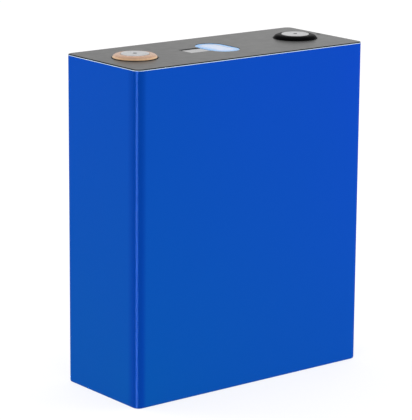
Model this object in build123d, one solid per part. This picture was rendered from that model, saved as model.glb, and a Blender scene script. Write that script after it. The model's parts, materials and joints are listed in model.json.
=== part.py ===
"""Prismatic lithium battery cell, as an assembly of separate pieces.

Millimetres. +Z is up, +X runs along the width and +Y through the thickness. The origin is the
centre of the base, on the surface that the cell stands on. The positive terminal is at -X and
the negative terminal at +X. The front core is the one at -Y.
"""

import os

from build123d import *

# ---- Driving dimensions --------------------------------------------------------------------
CELL_WIDTH = 174.0  # along X, over the film
CELL_THICKNESS = 72.0  # along Y, over the film
LID_TOP_Z = 203.7  # the bare lid, level with the can's rim
PAD_TOP_Z = 206.65  # weld faces of the two terminals
CORNER_RADIUS = 4.5  # vertical corners, over the film
TERMINAL_SPACING = 124.0  # pole to pole
FIT_GAP = 0.02  # between pieces that touch, so that their faces never overlap
OVERSHOOT = 1.0  # how far a cutting shape runs past the face that it opens

# ---- Film, patch and sheet -----------------------------------------------------------------
FILM = 0.15
WRAP_TOP_Z = 203.2  # leaves the can's rim bare
WRAP_FLAP = 12.0  # width folded under the base
WRAP_FLAP_CORNER = 1.0
SEAM_WIDTH = 14.0  # glued overlap on the +X side
SEAM_LOW_Z = 2.0
SHEET_THICKNESS = 0.3
SHEET_INSET = 0.55  # from the can's rim to the sheet's edge
SHEET_TERMINAL_HOLE_RADIUS = 14.1
WINDOW_X = (-25.0, -8.5)  # bare aluminium next to the vent
WINDOW_Y = (-7.0, 6.0)
LOCATING_HOLE_RADIUS = 1.4
LOCATING_HOLE_AT = (83.4, 2.6)

# ---- Can and lid ---------------------------------------------------------------------------
CAN_BASE_Z = 2 * FILM
CAN_WALL = 0.8
CAN_FLOOR = 1.4
CAN_EDGE_RADIUS = 1.0
LID_THICKNESS = 2.6
LID_SEAT_STEP = 0.25  # the can's wall is thinner beside the lid
POLE_HOLE_RADIUS = 6.85

# ---- Burst vent: stadiums with their long axis along Y -------------------------------------
VENT_OPENING = (13.5, 27.0)
VENT_SEAT = (16.5, 30.0)
VENT_SEAT_DEPTH = 1.4
VENT_RIM_HEIGHT = 0.9
VENT_RIM_WIDTH = 1.3
VENT_MEMBRANE = 0.35
SCORE_DEPTH = 0.2
SCORE_WIDTH = 0.5
SCORE_INSET = 2.6
VENT_FILM_SIZE = (18.8, 32.0)
VENT_FILM_THICKNESS = 0.3
VENT_SHEET_CUT = (19.6, 32.8)

# ---- Filling hole --------------------------------------------------------------------------
FILL_X = 33.0
FILL_HOLE_RADIUS = 1.6
FILL_HEAD_RADIUS = 3.1
FILL_HEAD_HEIGHT = 0.8
FILL_CAP_RADIUS = 5.0
FILL_CAP_HEIGHT = 1.0

# ---- Terminals -----------------------------------------------------------------------------
WASHER_RADIUS = 13.9
WASHER_HEIGHT = 0.55
RING_RADIUS = 13.4
RING_TOP_Z = 206.4
RING_SHOULDER_RADIUS = 12.0  # where the sloping top meets the rounded side
RING_SHOULDER_DROP = 0.3
RING_SIDE_HEIGHT = 0.7  # straight part of the ring's outside
RING_BULGE = (0.72, 0.68)  # how far out and up the rounded side passes its middle
PAD_RADIUS = 8.6
PAD_BORE_GAP = 0.15
PAD_FLANGE_RADIUS = 10.7
PAD_FLANGE_HEIGHT = 0.8
PAD_CHAMFER = 0.25
DIMPLE_RADIUS = 0.6
DIMPLE_DEPTH = 0.6
POLE_RADIUS = 6.0
POLE_TOP_Z = 205.7
POLE_FLANGE_RADIUS = 11.0
POLE_FLANGE_HEIGHT = 1.2
POLE_BOSS_RADIUS = 5.0
SEAL_FLANGE_HEIGHT = 1.0

# ---- Under the lid -------------------------------------------------------------------------
INSULATOR_HEIGHT = 2.2
INSULATOR_SKIRT_DEPTH = 2.5
INSULATOR_SKIRT_WALL = 1.2
INSULATOR_GAP = 1.6  # from the can's wall
GRILLE_SLOTS = 7
GRILLE_PITCH = 3.6
GRILLE_SLOT = (13.0, 1.8)
COLLECTOR_HEIGHT = 1.5
COLLECTOR_PAD = (34.0, 34.0)  # below the pole
COLLECTOR_WING = (34.0, 58.0)  # welded to the tabs
COLLECTOR_WING_X = 34.0  # centre of the wing
COLLECTOR_CORNER = 3.0

# ---- Wound cores ---------------------------------------------------------------------------
CORE_WIDTH = 168.0
CORE_THICKNESS = 33.9
CORE_Y = 17.2  # centre of each core
CORE_TURNS = 6
CORE_START_RADIUS = 0.5
SEPARATOR_WEB = 0.22
ANODE_WEB = 0.80
CATHODE_WEB = 1.15
SEPARATOR_Z = (3.05, 193.2)
ANODE_Z = (4.0, 192.4)
CATHODE_Z = (5.0, 191.6)
SEPARATOR_TAIL = 62.0  # length of each web past the last bend
ANODE_TAIL = 44.0
CATHODE_TAIL = 30.0
TAPE = 0.12
CORE_TAPE_WIDTH = 18.0
CORE_TAPE_HEIGHTS = (40.0, 98.0, 156.0)

# ---- Tabs ----------------------------------------------------------------------------------
TAB_WIDTH = 28.0
TAB_STACK = 0.8
TAB_ROOT_Y = (16.0, 27.0)  # the foils leave the core fanned out
TAB_STACK_Y = 22.0
TAB_END_Y = 8.0
TAB_GATHER_HEIGHT = 1.5
TAB_TAPE_EXTRA = 4.0  # tape wider than the tabs

# ---- Bag and bottom plate ------------------------------------------------------------------
BAG_GAP = 0.12
BAG_TOP_Z = 193.0
BOTTOM_PLATE_HEIGHT = 1.0
BOTTOM_PLATE_HOLES = (9, 3)
BOTTOM_PLATE_PITCH = (17.0, 19.0)
BOTTOM_PLATE_HOLE_RADIUS = 3.0

# ---- Worked out from the above -------------------------------------------------------------
CAN_SIZE = (CELL_WIDTH - 2 * (FILM + FIT_GAP), CELL_THICKNESS - 2 * (FILM + FIT_GAP))
CAN_CORNER = CORNER_RADIUS - FILM - FIT_GAP
CAVITY_SIZE = (CAN_SIZE[0] - 2 * CAN_WALL, CAN_SIZE[1] - 2 * CAN_WALL)
CAVITY_CORNER = CAN_CORNER - CAN_WALL
CAVITY_FLOOR_Z = CAN_BASE_Z + CAN_FLOOR
LID_BOTTOM_Z = LID_TOP_Z - LID_THICKNESS
INSULATOR_BOTTOM_Z = LID_BOTTOM_Z - INSULATOR_HEIGHT
COLLECTOR_BOTTOM_Z = INSULATOR_BOTTOM_Z - COLLECTOR_HEIGHT
WASHER_TOP_Z = LID_TOP_Z + WASHER_HEIGHT
SIDES = {"positive": -TERMINAL_SPACING / 2, "negative": TERMINAL_SPACING / 2}


# ---- Shared shapes -------------------------------------------------------------------------
def slab(outline, low_z, high_z):
    """Extrude a flat outline between two heights."""
    return extrude(Pos(0, 0, low_z) * outline, amount=high_z - low_z)


def stadium(size):
    """Outline with round ends, its long axis along Y."""
    return SlotOverall(size[1], size[0], rotation=90)


def frame_outline(size, inset, corner):
    """Rounded rectangle, set in from a size on every side."""
    return RectangleRounded(size[0] - 2 * inset, size[1] - 2 * inset, corner)


def turned(points, centre_x):
    """Turn a closed (radius, height) profile about a vertical axis at centre_x."""
    profile = make_face(Polyline([(radius, 0, z) for radius, z in points], close=True))
    return Pos(centre_x, 0, 0) * revolve(profile, Axis.Z)


def tray_block(size, corner, edge_radius, low_z, high_z):
    """Rounded block whose bottom edges are rounded too."""
    block = slab(RectangleRounded(*size, corner), low_z, high_z)
    return fillet(block.faces().sort_by(Axis.Z)[0].edges(), edge_radius)


# ---- Outside -------------------------------------------------------------------------------
def insulation_wrap():
    """Film round the four sides, folded under the base, with a glued overlap at +X."""
    outer_size = (CELL_WIDTH, CELL_THICKNESS)
    inner_size = (CELL_WIDTH - 2 * FILM, CELL_THICKNESS - 2 * FILM)
    outer = tray_block(outer_size, CORNER_RADIUS, CAN_EDGE_RADIUS + FILM, 0, WRAP_TOP_Z)
    inner = tray_block(inner_size, CORNER_RADIUS - FILM, CAN_EDGE_RADIUS, FILM, WRAP_TOP_Z + OVERSHOOT)
    base_opening = slab(frame_outline(outer_size, WRAP_FLAP, WRAP_FLAP_CORNER), -OVERSHOOT, 2 * FILM)
    seam_box = Box(FILM, SEAM_WIDTH, WRAP_TOP_Z - SEAM_LOW_Z, align=(Align.MIN, Align.CENTER, Align.MIN))
    seam = Pos(CELL_WIDTH / 2, 0, SEAM_LOW_Z) * seam_box
    return outer - inner - base_opening + seam


def base_patch():
    """Thin patch on the can's floor, resting on the folded film."""
    inset = CAN_EDGE_RADIUS + FIT_GAP
    outline = frame_outline(CAN_SIZE, inset, CAN_CORNER - inset)
    return slab(outline, FILM, CAN_BASE_Z)


def top_sheet():
    """Die-cut sheet, with holes for the terminals, the vent, a bare window and a locator."""
    outline = frame_outline(CAN_SIZE, SHEET_INSET, CAN_CORNER - SHEET_INSET)
    window_size = (WINDOW_X[1] - WINDOW_X[0], WINDOW_Y[1] - WINDOW_Y[0])
    window = Pos(sum(WINDOW_X) / 2, sum(WINDOW_Y) / 2) * Rectangle(*window_size)
    outline -= stadium(VENT_SHEET_CUT) + window
    outline -= Pos(*LOCATING_HOLE_AT) * Circle(LOCATING_HOLE_RADIUS)
    for centre_x in SIDES.values():
        outline -= Pos(centre_x, 0) * Circle(SHEET_TERMINAL_HOLE_RADIUS)
    return slab(outline, LID_TOP_Z, LID_TOP_Z + SHEET_THICKNESS)


def vent_film():
    """Clear film over the vent, with a softened edge."""
    film = slab(stadium(VENT_FILM_SIZE), LID_TOP_Z, LID_TOP_Z + VENT_FILM_THICKNESS)
    return fillet(film.faces().sort_by(Axis.Z)[-1].edges(), VENT_FILM_THICKNESS / 2)


# ---- Can, lid, vent and filling hole -------------------------------------------------------
def can():
    """Deep-drawn can, open at the top, with a step that the lid sits on."""
    body = tray_block(CAN_SIZE, CAN_CORNER, CAN_EDGE_RADIUS, CAN_BASE_Z, LID_TOP_Z)
    cavity_top_z = LID_TOP_Z + OVERSHOOT
    cavity = tray_block(CAVITY_SIZE, CAVITY_CORNER, CAN_EDGE_RADIUS, CAVITY_FLOOR_Z, cavity_top_z)
    seat = slab(
        frame_outline(CAVITY_SIZE, -LID_SEAT_STEP, CAVITY_CORNER + LID_SEAT_STEP),
        LID_BOTTOM_Z,
        cavity_top_z,
    )
    return body - cavity - seat


def lid_plate():
    """Lid with two pole holes, the vent's stepped opening and the stepped filling hole."""
    inset = FIT_GAP - LID_SEAT_STEP
    lid = slab(frame_outline(CAVITY_SIZE, inset, CAVITY_CORNER - inset), LID_BOTTOM_Z, LID_TOP_Z)
    for centre_x in SIDES.values():
        lid -= Pos(centre_x, 0) * slab(Circle(POLE_HOLE_RADIUS), LID_BOTTOM_Z, LID_TOP_Z)
    lid -= slab(stadium(VENT_OPENING), LID_BOTTOM_Z, LID_TOP_Z)
    lid -= slab(stadium(VENT_SEAT), LID_TOP_Z - VENT_SEAT_DEPTH, LID_TOP_Z)
    head_bottom_z = LID_TOP_Z - FILL_CAP_HEIGHT - FILL_HEAD_HEIGHT
    fill_hole = slab(Circle(FILL_HOLE_RADIUS), LID_BOTTOM_Z, LID_TOP_Z)
    fill_hole += slab(Circle(FILL_HEAD_RADIUS), head_bottom_z, LID_TOP_Z)
    fill_hole += slab(Circle(FILL_CAP_RADIUS), LID_TOP_Z - FILL_CAP_HEIGHT, LID_TOP_Z)
    return lid - Pos(FILL_X, 0) * fill_hole


def vent_disc():
    """Burst disc: a welded rim round a thin membrane with a scored loop and cross line."""
    seat_z = LID_TOP_Z - VENT_SEAT_DEPTH
    rim_size = tuple(side - 2 * FIT_GAP for side in VENT_SEAT)
    inner_size = tuple(side - 2 * VENT_RIM_WIDTH for side in rim_size)
    loop_size = tuple(side - 2 * SCORE_INSET for side in rim_size)
    loop_inner = tuple(side - 2 * SCORE_WIDTH for side in loop_size)
    membrane_top_z = seat_z + VENT_MEMBRANE
    disc = slab(stadium(rim_size), seat_z, seat_z + VENT_RIM_HEIGHT)
    disc -= slab(stadium(inner_size), membrane_top_z, seat_z + VENT_RIM_HEIGHT)
    score = stadium(loop_size) - stadium(loop_inner)
    score += Rectangle(SCORE_WIDTH, loop_inner[1])
    return disc - slab(score, membrane_top_z - SCORE_DEPTH, membrane_top_z)


def fill_plug():
    """Headed rubber plug in the filling hole."""
    head_top_z = LID_TOP_Z - FILL_CAP_HEIGHT - FIT_GAP
    head_bottom_z = LID_TOP_Z - FILL_CAP_HEIGHT - FILL_HEAD_HEIGHT
    plug = slab(Circle(FILL_HOLE_RADIUS - FIT_GAP), LID_BOTTOM_Z, head_top_z)
    plug += slab(Circle(FILL_HEAD_RADIUS - FIT_GAP), head_bottom_z, head_top_z)
    return Pos(FILL_X, 0) * plug


def fill_cap():
    """Disc welded over the plug, level with the lid."""
    disc = slab(Circle(FILL_CAP_RADIUS - FIT_GAP), LID_TOP_Z - FILL_CAP_HEIGHT, LID_TOP_Z - FIT_GAP)
    return Pos(FILL_X, 0) * disc


# ---- Terminals -----------------------------------------------------------------------------
def terminal_base_washer(centre_x):
    """Flat insulating washer on the lid."""
    outline = Circle(WASHER_RADIUS) - Circle(POLE_HOLE_RADIUS)
    return Pos(centre_x, 0) * slab(outline, LID_TOP_Z, WASHER_TOP_Z)


def terminal_ring(centre_x):
    """Moulded ring with a sloping top and a rounded side, which holds the pad's flange down."""
    shoulder_z = RING_TOP_Z - RING_SHOULDER_DROP
    side_z = WASHER_TOP_Z + RING_SIDE_HEIGHT
    bore = PAD_RADIUS + PAD_BORE_GAP
    undercut = PAD_FLANGE_RADIUS + FIT_GAP
    undercut_z = WASHER_TOP_Z + PAD_FLANGE_HEIGHT + FIT_GAP
    shoulder = (RING_SHOULDER_RADIUS, 0, shoulder_z)
    side_top = (RING_RADIUS, 0, side_z)
    bulge = (
        RING_SHOULDER_RADIUS + (RING_RADIUS - RING_SHOULDER_RADIUS) * RING_BULGE[0],
        0,
        side_z + (shoulder_z - side_z) * RING_BULGE[1],
    )
    rounded = ThreePointArc(side_top, bulge, shoulder)
    straight = Polyline(
        shoulder,
        (bore, 0, RING_TOP_Z),
        (bore, 0, undercut_z),
        (undercut, 0, undercut_z),
        (undercut, 0, WASHER_TOP_Z),
        (RING_RADIUS, 0, WASHER_TOP_Z),
        side_top,
    )
    return Pos(centre_x, 0, 0) * revolve(make_face(rounded.edges() + straight.edges()), Axis.Z)


def terminal_pad(centre_x):
    """Weld pad: captive flange, blind socket for the pole and a small centre mark."""
    socket = POLE_RADIUS + FIT_GAP
    flange_z = WASHER_TOP_Z + PAD_FLANGE_HEIGHT
    profile = [
        (socket, WASHER_TOP_Z),
        (PAD_FLANGE_RADIUS, WASHER_TOP_Z),
        (PAD_FLANGE_RADIUS, flange_z),
        (PAD_RADIUS, flange_z),
        (PAD_RADIUS, PAD_TOP_Z - PAD_CHAMFER),
        (PAD_RADIUS - PAD_CHAMFER, PAD_TOP_Z),
        (DIMPLE_RADIUS, PAD_TOP_Z),
        (0, PAD_TOP_Z - DIMPLE_DEPTH),
        (0, POLE_TOP_Z + FIT_GAP),
        (socket, POLE_TOP_Z + FIT_GAP),
    ]
    return turned(profile, centre_x)


def terminal_pole(centre_x):
    """Pole through the lid: boss for the collector, flange under the seal, and shank."""
    flange_top_z = INSULATOR_BOTTOM_Z + POLE_FLANGE_HEIGHT
    profile = [
        (0, COLLECTOR_BOTTOM_Z),
        (POLE_BOSS_RADIUS, COLLECTOR_BOTTOM_Z),
        (POLE_BOSS_RADIUS, INSULATOR_BOTTOM_Z),
        (POLE_FLANGE_RADIUS, INSULATOR_BOTTOM_Z),
        (POLE_FLANGE_RADIUS, flange_top_z),
        (POLE_RADIUS, flange_top_z),
        (POLE_RADIUS, POLE_TOP_Z),
        (0, POLE_TOP_Z),
    ]
    return turned(profile, centre_x)


def terminal_seal(centre_x):
    """Rubber seal: a flange under the lid and a sleeve through it."""
    inner = POLE_RADIUS + FIT_GAP
    sleeve = POLE_HOLE_RADIUS - FIT_GAP
    flange = POLE_FLANGE_RADIUS - 2 * FIT_GAP
    low_z = LID_BOTTOM_Z - SEAL_FLANGE_HEIGHT + FIT_GAP
    profile = [
        (inner, low_z),
        (flange, low_z),
        (flange, LID_BOTTOM_Z - FIT_GAP),
        (sleeve, LID_BOTTOM_Z - FIT_GAP),
        (sleeve, WASHER_TOP_Z - FIT_GAP),
        (inner, WASHER_TOP_Z - FIT_GAP),
    ]
    return turned(profile, centre_x)


# ---- Under the lid -------------------------------------------------------------------------
def lid_insulator():
    """Moulded plate with a skirt, pockets for the pole flanges and a grille below the vent."""
    outer = frame_outline(CAVITY_SIZE, INSULATOR_GAP, CAVITY_CORNER)
    inner = frame_outline(CAVITY_SIZE, INSULATOR_GAP + INSULATOR_SKIRT_WALL, CAVITY_CORNER / 2)
    plate = slab(outer, INSULATOR_BOTTOM_Z, LID_BOTTOM_Z)
    plate += slab(outer - inner, INSULATOR_BOTTOM_Z - INSULATOR_SKIRT_DEPTH, INSULATOR_BOTTOM_Z)
    pocket = Circle(POLE_FLANGE_RADIUS + 2 * FIT_GAP)
    for centre_x in SIDES.values():
        plate -= Pos(centre_x, 0) * slab(pocket, INSULATOR_BOTTOM_Z, LID_BOTTOM_Z)
    slots = GridLocations(1, GRILLE_PITCH, 1, GRILLE_SLOTS) * SlotOverall(*GRILLE_SLOT)
    for slot in slots:
        plate -= slab(slot, INSULATOR_BOTTOM_Z, LID_BOTTOM_Z)
    drip = Pos(FILL_X, 0) * slab(Circle(FILL_HEAD_RADIUS), INSULATOR_BOTTOM_Z, LID_BOTTOM_Z)
    return plate - drip


def collector(centre_x):
    """Plate welded to the pole's boss, widening into a wing over the tabs."""
    side = 1 if centre_x > 0 else -1
    outline = Pos(centre_x, 0) * Rectangle(*COLLECTOR_PAD)
    outline += Pos(side * COLLECTOR_WING_X, 0) * Rectangle(*COLLECTOR_WING)
    outline = fillet(outline.vertices(), COLLECTOR_CORNER)
    outline -= Pos(centre_x, 0) * Circle(POLE_BOSS_RADIUS + FIT_GAP)
    return slab(outline, COLLECTOR_BOTTOM_Z, INSULATOR_BOTTOM_Z - FIT_GAP)


# ---- Cores ---------------------------------------------------------------------------------
def core_pitch():
    """Distance from one turn of a core to the next."""
    return (CORE_THICKNESS - 2 * CORE_START_RADIUS) / (2 * CORE_TURNS + 1)


def spiral_side(offset, tail, pitch, straight):
    """One side of a flattened spiral web: straight runs joined by half circles."""
    shift = pitch / 4
    radius = CORE_START_RADIUS + offset
    start = (0, shift - radius)
    edges = [Line(start, (straight / 2, shift - radius))]
    for _ in range(CORE_TURNS):
        edges.append(CenterArc((straight / 2, shift), radius, -90, 180))
        y = shift + radius
        edges.append(Line((straight / 2, y), (-straight / 2, y)))
        radius += 2 * shift
        edges.append(CenterArc((-straight / 2, -shift), radius, 90, 180))
        y = -shift - radius
        edges.append(Line((-straight / 2, y), (straight / 2, y)))
        radius += 2 * shift
    end = (-straight / 2 + tail, y)
    edges[-1] = Line((-straight / 2, y), end)
    return edges, start, end


def wound_web(offset, thickness, tail, z_range):
    """One web of a core, wound from the middle outwards and standing on edge."""
    pitch = core_pitch()
    straight = CORE_WIDTH - 2 * CORE_START_RADIUS - 2 * CORE_TURNS * pitch - pitch / 2
    inner, inner_start, inner_end = spiral_side(offset, tail, pitch, straight)
    outer, outer_start, outer_end = spiral_side(offset + thickness, tail, pitch, straight)
    ends = [Line(inner_start, outer_start), Line(inner_end, outer_end)]
    outline = make_face(inner + outer + ends)
    return Pos(pitch / 4, pitch / 4) * slab(outline, *z_range)


def core_webs():
    """Cathode, anode and the two separators of a core centred on the origin."""
    pitch = core_pitch()
    gap = (pitch - CATHODE_WEB - ANODE_WEB - 2 * SEPARATOR_WEB) / 4
    inner_separator_at = CATHODE_WEB + gap
    anode_at = inner_separator_at + SEPARATOR_WEB + gap
    outer_separator_at = anode_at + ANODE_WEB + gap
    inner_separator = wound_web(inner_separator_at, SEPARATOR_WEB, SEPARATOR_TAIL, SEPARATOR_Z)
    outer_separator = wound_web(outer_separator_at, SEPARATOR_WEB, SEPARATOR_TAIL, SEPARATOR_Z)
    return {
        "cathode": wound_web(0, CATHODE_WEB, CATHODE_TAIL, CATHODE_Z),
        "anode": wound_web(anode_at, ANODE_WEB, ANODE_TAIL, ANODE_Z),
        "separator": Compound([inner_separator.solid(), outer_separator.solid()]),
    }


def core_tapes():
    """Bands round both cores."""
    pitch = core_pitch()
    size = (CORE_WIDTH + 2 * FIT_GAP, 2 * CORE_Y + CORE_THICKNESS + 2 * FIT_GAP)
    corner = CORE_START_RADIUS + CORE_TURNS * pitch
    band = frame_outline(size, -TAPE, corner + TAPE) - frame_outline(size, 0, corner)
    half = CORE_TAPE_WIDTH / 2
    return Compound([slab(band, z - half, z + half).solid() for z in CORE_TAPE_HEIGHTS])


def tab_stack(side, core_side):
    """Foil tabs that gather above a core and bend in along the collector's underside."""
    root_z = SEPARATOR_Z[1] + FIT_GAP
    gather_z = root_z + TAB_GATHER_HEIGHT
    top_z = COLLECTOR_BOTTOM_Z - FIT_GAP
    inner_y = TAB_STACK_Y - TAB_STACK / 2
    outer_y = TAB_STACK_Y + TAB_STACK / 2
    points = [
        (TAB_ROOT_Y[0], root_z),
        (TAB_ROOT_Y[1], root_z),
        (outer_y, gather_z),
        (outer_y, top_z),
        (TAB_END_Y, top_z),
        (TAB_END_Y, top_z - TAB_STACK),
        (inner_y, top_z - TAB_STACK),
        (inner_y, gather_z),
    ]
    profile = make_face(Polyline([(0, core_side * y, z) for y, z in points], close=True))
    stack = extrude(profile, amount=TAB_WIDTH / 2, dir=(1, 0, 0), both=True)
    return Pos(side * COLLECTOR_WING_X, 0, 0) * stack


def tab_tapes():
    """Insulating tapes under the four tab welds."""
    high_z = COLLECTOR_BOTTOM_Z - TAB_STACK - 2 * FIT_GAP
    length = TAB_STACK_Y - TAB_STACK - TAB_END_Y
    strip = slab(Rectangle(TAB_WIDTH + TAB_TAPE_EXTRA, length), high_z - TAPE, high_z)
    middle_y = TAB_END_Y + length / 2
    places = [(x * COLLECTOR_WING_X, y * middle_y) for x in (-1, 1) for y in (-1, 1)]
    return Compound([(Pos(*place) * strip).solid() for place in places])


# ---- Bag and bottom plate ------------------------------------------------------------------
def core_bag():
    """Clear bag, open at the top, between the cores and the can."""
    outer_size = (CAVITY_SIZE[0] - 2 * BAG_GAP, CAVITY_SIZE[1] - 2 * BAG_GAP)
    inner_size = (outer_size[0] - 2 * FILM, outer_size[1] - 2 * FILM)
    low_z = CAVITY_FLOOR_Z + FIT_GAP
    outer = tray_block(outer_size, CAVITY_CORNER - BAG_GAP, CAN_EDGE_RADIUS, low_z, BAG_TOP_Z)
    inner_corner = CAVITY_CORNER - BAG_GAP - FILM
    inner = tray_block(inner_size, inner_corner, CAN_EDGE_RADIUS - FILM, low_z + FILM, BAG_TOP_Z + OVERSHOOT)
    return outer - inner


def bottom_plate():
    """Perforated plate that the cores stand on, inside the bag."""
    low_z = CAVITY_FLOOR_Z + FILM + 2 * FIT_GAP
    outline = frame_outline(CAVITY_SIZE, CAN_EDGE_RADIUS + FILM + BAG_GAP, CAVITY_CORNER / 2)
    holes = GridLocations(*BOTTOM_PLATE_PITCH, *BOTTOM_PLATE_HOLES) * Circle(BOTTOM_PLATE_HOLE_RADIUS)
    for hole in holes:
        outline -= hole
    return slab(outline, low_z, low_z + BOTTOM_PLATE_HEIGHT)


# ---- Assembly ------------------------------------------------------------------------------
def build_parts():
    """All pieces, each under its node's name."""
    parts = {
        "insulation_wrap": insulation_wrap(),
        "base_patch": base_patch(),
        "top_sheet": top_sheet(),
        "vent_film": vent_film(),
        "can": can(),
        "lid_plate": lid_plate(),
        "vent_disc": vent_disc(),
        "fill_plug": fill_plug(),
        "fill_cap": fill_cap(),
        "lid_insulator": lid_insulator(),
        "core_tapes": core_tapes(),
        "tab_tapes": tab_tapes(),
        "core_bag": core_bag(),
        "bottom_plate": bottom_plate(),
    }
    for name, centre_x in SIDES.items():
        side = 1 if centre_x > 0 else -1
        parts[f"{name}_base_washer"] = terminal_base_washer(centre_x)
        parts[f"{name}_ring"] = terminal_ring(centre_x)
        parts[f"{name}_pad"] = terminal_pad(centre_x)
        parts[f"{name}_pole"] = terminal_pole(centre_x)
        parts[f"{name}_seal"] = terminal_seal(centre_x)
        parts[f"{name}_collector"] = collector(centre_x)
        parts[f"front_{name}_tabs"] = tab_stack(side, -1)
        parts[f"rear_{name}_tabs"] = tab_stack(side, 1)
    for web_name, web in core_webs().items():
        parts[f"front_{web_name}"] = Pos(0, -CORE_Y, 0) * web
        parts[f"rear_{web_name}"] = Pos(0, CORE_Y, 0) * mirror(web, about=Plane.XZ)
    return parts


def main():
    """Write one STEP file per piece."""
    os.makedirs("parts", exist_ok=True)
    for name, shape in build_parts().items():
        export_step(shape, f"parts/{name}.step")


main()
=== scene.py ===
"""Looks of the prismatic battery cell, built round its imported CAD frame.

Blender objects are in metres. Shapes are worked out in millimetres and scaled by MM when their
meshes are made. +Z is up, +X runs along the width and +Y through the thickness.
"""

import json
import math

import bmesh
import bpy
from mathutils import Matrix, Vector

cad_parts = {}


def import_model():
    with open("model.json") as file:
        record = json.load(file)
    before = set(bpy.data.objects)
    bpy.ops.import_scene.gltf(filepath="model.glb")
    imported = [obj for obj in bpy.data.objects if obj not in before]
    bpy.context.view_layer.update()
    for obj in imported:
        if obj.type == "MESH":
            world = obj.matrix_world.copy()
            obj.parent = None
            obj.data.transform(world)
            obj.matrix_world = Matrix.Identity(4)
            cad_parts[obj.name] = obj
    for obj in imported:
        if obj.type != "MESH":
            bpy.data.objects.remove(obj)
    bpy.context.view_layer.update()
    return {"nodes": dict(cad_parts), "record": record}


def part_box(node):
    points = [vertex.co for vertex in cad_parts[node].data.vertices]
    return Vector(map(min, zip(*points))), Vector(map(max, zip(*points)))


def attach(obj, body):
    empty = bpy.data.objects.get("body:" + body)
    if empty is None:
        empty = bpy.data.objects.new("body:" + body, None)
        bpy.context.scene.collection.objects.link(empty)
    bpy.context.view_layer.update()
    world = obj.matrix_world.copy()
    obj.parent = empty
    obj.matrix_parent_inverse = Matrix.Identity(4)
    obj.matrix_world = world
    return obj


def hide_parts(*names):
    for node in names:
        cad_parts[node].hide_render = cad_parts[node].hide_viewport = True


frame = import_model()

MM = 0.001
BODY = "root"

# ---- Sizes that the frame gives, in millimetres ----------------------------------------------
WRAP_LOW, WRAP_HIGH = (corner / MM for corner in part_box("insulation_wrap"))
CAN_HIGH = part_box("can")[1] / MM
SHEET_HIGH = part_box("top_sheet")[1] / MM
VENT_LOW, VENT_HIGH = (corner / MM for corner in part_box("vent_film"))
HALF_WIDTH = -WRAP_LOW.x
HALF_DEPTH = WRAP_HIGH.y
CORNER_RADIUS = 4.5
WRAP_TOP = WRAP_HIGH.z
LID_TOP = CAN_HIGH.z
SHEET_TOP = SHEET_HIGH.z

# ---- Film ------------------------------------------------------------------------------------
FILM = 0.11
SEAM_WIDTH = 14.0
SEAM_RAMP = 1.4  # run in which the overlap climbs onto the layer below it
SEAM_GAP = 0.02
EDGE_RADIUS = 1.15  # bend from the walls to the base
FLAP_WIDTH = 12.0
FLAP_CORNER = 1.0
FLAP_STEP = 0.05  # the narrow sides' flaps lie this much above the wide sides' ones
UNDER_GAP = 0.005
FLAT_STEP = 3.0
ROW_STEP = 4.0
TOP_EDGE = 0.25
CORNER_STEPS = 14
EDGE_STEPS = 6
FLAP_ROWS = 5
RIPPLE = 0.02
RIPPLE_FADE = 14.0  # distance from a corner at which the film is free to ripple
CUT_WAVE = 0.03  # unevenness of the film's cut upper edge
GUSSET_MARGIN = 0.3
GUSSET_SHORTFALL = 0.4  # how much less it reaches past the bend than the flaps do
GUSSET_ROUND = 0.4  # share of the corner's radius by which its outer point is further in
# Painted shade: the film on the near corner at -X and -Y is a deeper blue this far onto its flats.
PAINTED_SHADE_ON_WIDE = 2.4  # reach of the near corner's deeper blue on its wide side
PAINTED_SHADE_ON_NARROW = 5.0

# ---- Weld and painted shade round the rim ----------------------------------------------------
BEAD_PITCH = 0.9
BEAD_STEPS = 4
BEAD_SCALLOP = 0.012
WELD_TOP = 0.20  # below the lid's top
WELD_LEAN = 0.45  # share of its reach that the weld loses on its way up
WELD_ROWS = 5
WELD_GAP = 0.01
WELD_TUCK = 0.03  # reach below the film's cut edge
EDGE_SHADE_SINK = 0.04  # below the sheet's top

# ---- Window and locating hole in the sheet, and the window's painted shade -------------------
WINDOW_X = (-25.0, -9.8)
WINDOW_BACK = 6.0
WINDOW_SHADE_WIDTH = 2.0
WINDOW_SINK = 0.03  # below the sheet's top
WINDOW_STEP = 0.4
WINDOW_WAVES = ((0.07, 0.9), (0.04, 2.3))  # shares of the painted shade strip's width, radians per millimetre
LOCATING_HOLE_AT = (83.4, 2.6)
LOCATING_HOLE_RADIUS = 1.4
PLUG_GAP = 0.05
PLUG_SINK = 0.04  # below the sheet's top
PLUG_DISH = 0.16
PLUG_FLOOR = 0.6  # its dish's share of its radius
PLUG_EDGE = 0.08
PLUG_FILLET = 0.2

# ---- Film over the vent ----------------------------------------------------------------------
VENT_RINGS = 22
VENT_AROUND = 96
VENT_GLUED = 3.0  # width of the flat rim
VENT_FILM = 0.12
VENT_GAP = 0.02
VENT_DOME = 0.42
VENT_CROWDING = 0.9  # below 1, the mesh's rings crowd together towards the rim
VENT_SWELL = 2.2  # above 1, the bulge rises early and flattens in the middle

# ---- Meshes ----------------------------------------------------------------------------------
SHARP_ANGLE = 35.0  # edges sharper than this aren't shaded smooth
RING_ANGLE = 48.0
BEAD_ANGLE = 70.0
WELD_ANGLE = 80.0
MERGE = 1e-5
LATHE_STEPS = 144
ROUND_STEPS = 6

# ---- Metal surfaces --------------------------------------------------------------------------
SCRATCH_DEPTH = 0.0015
TURNING_PITCH = 1.1
TURNING_DEPTH = 0.0012

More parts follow.
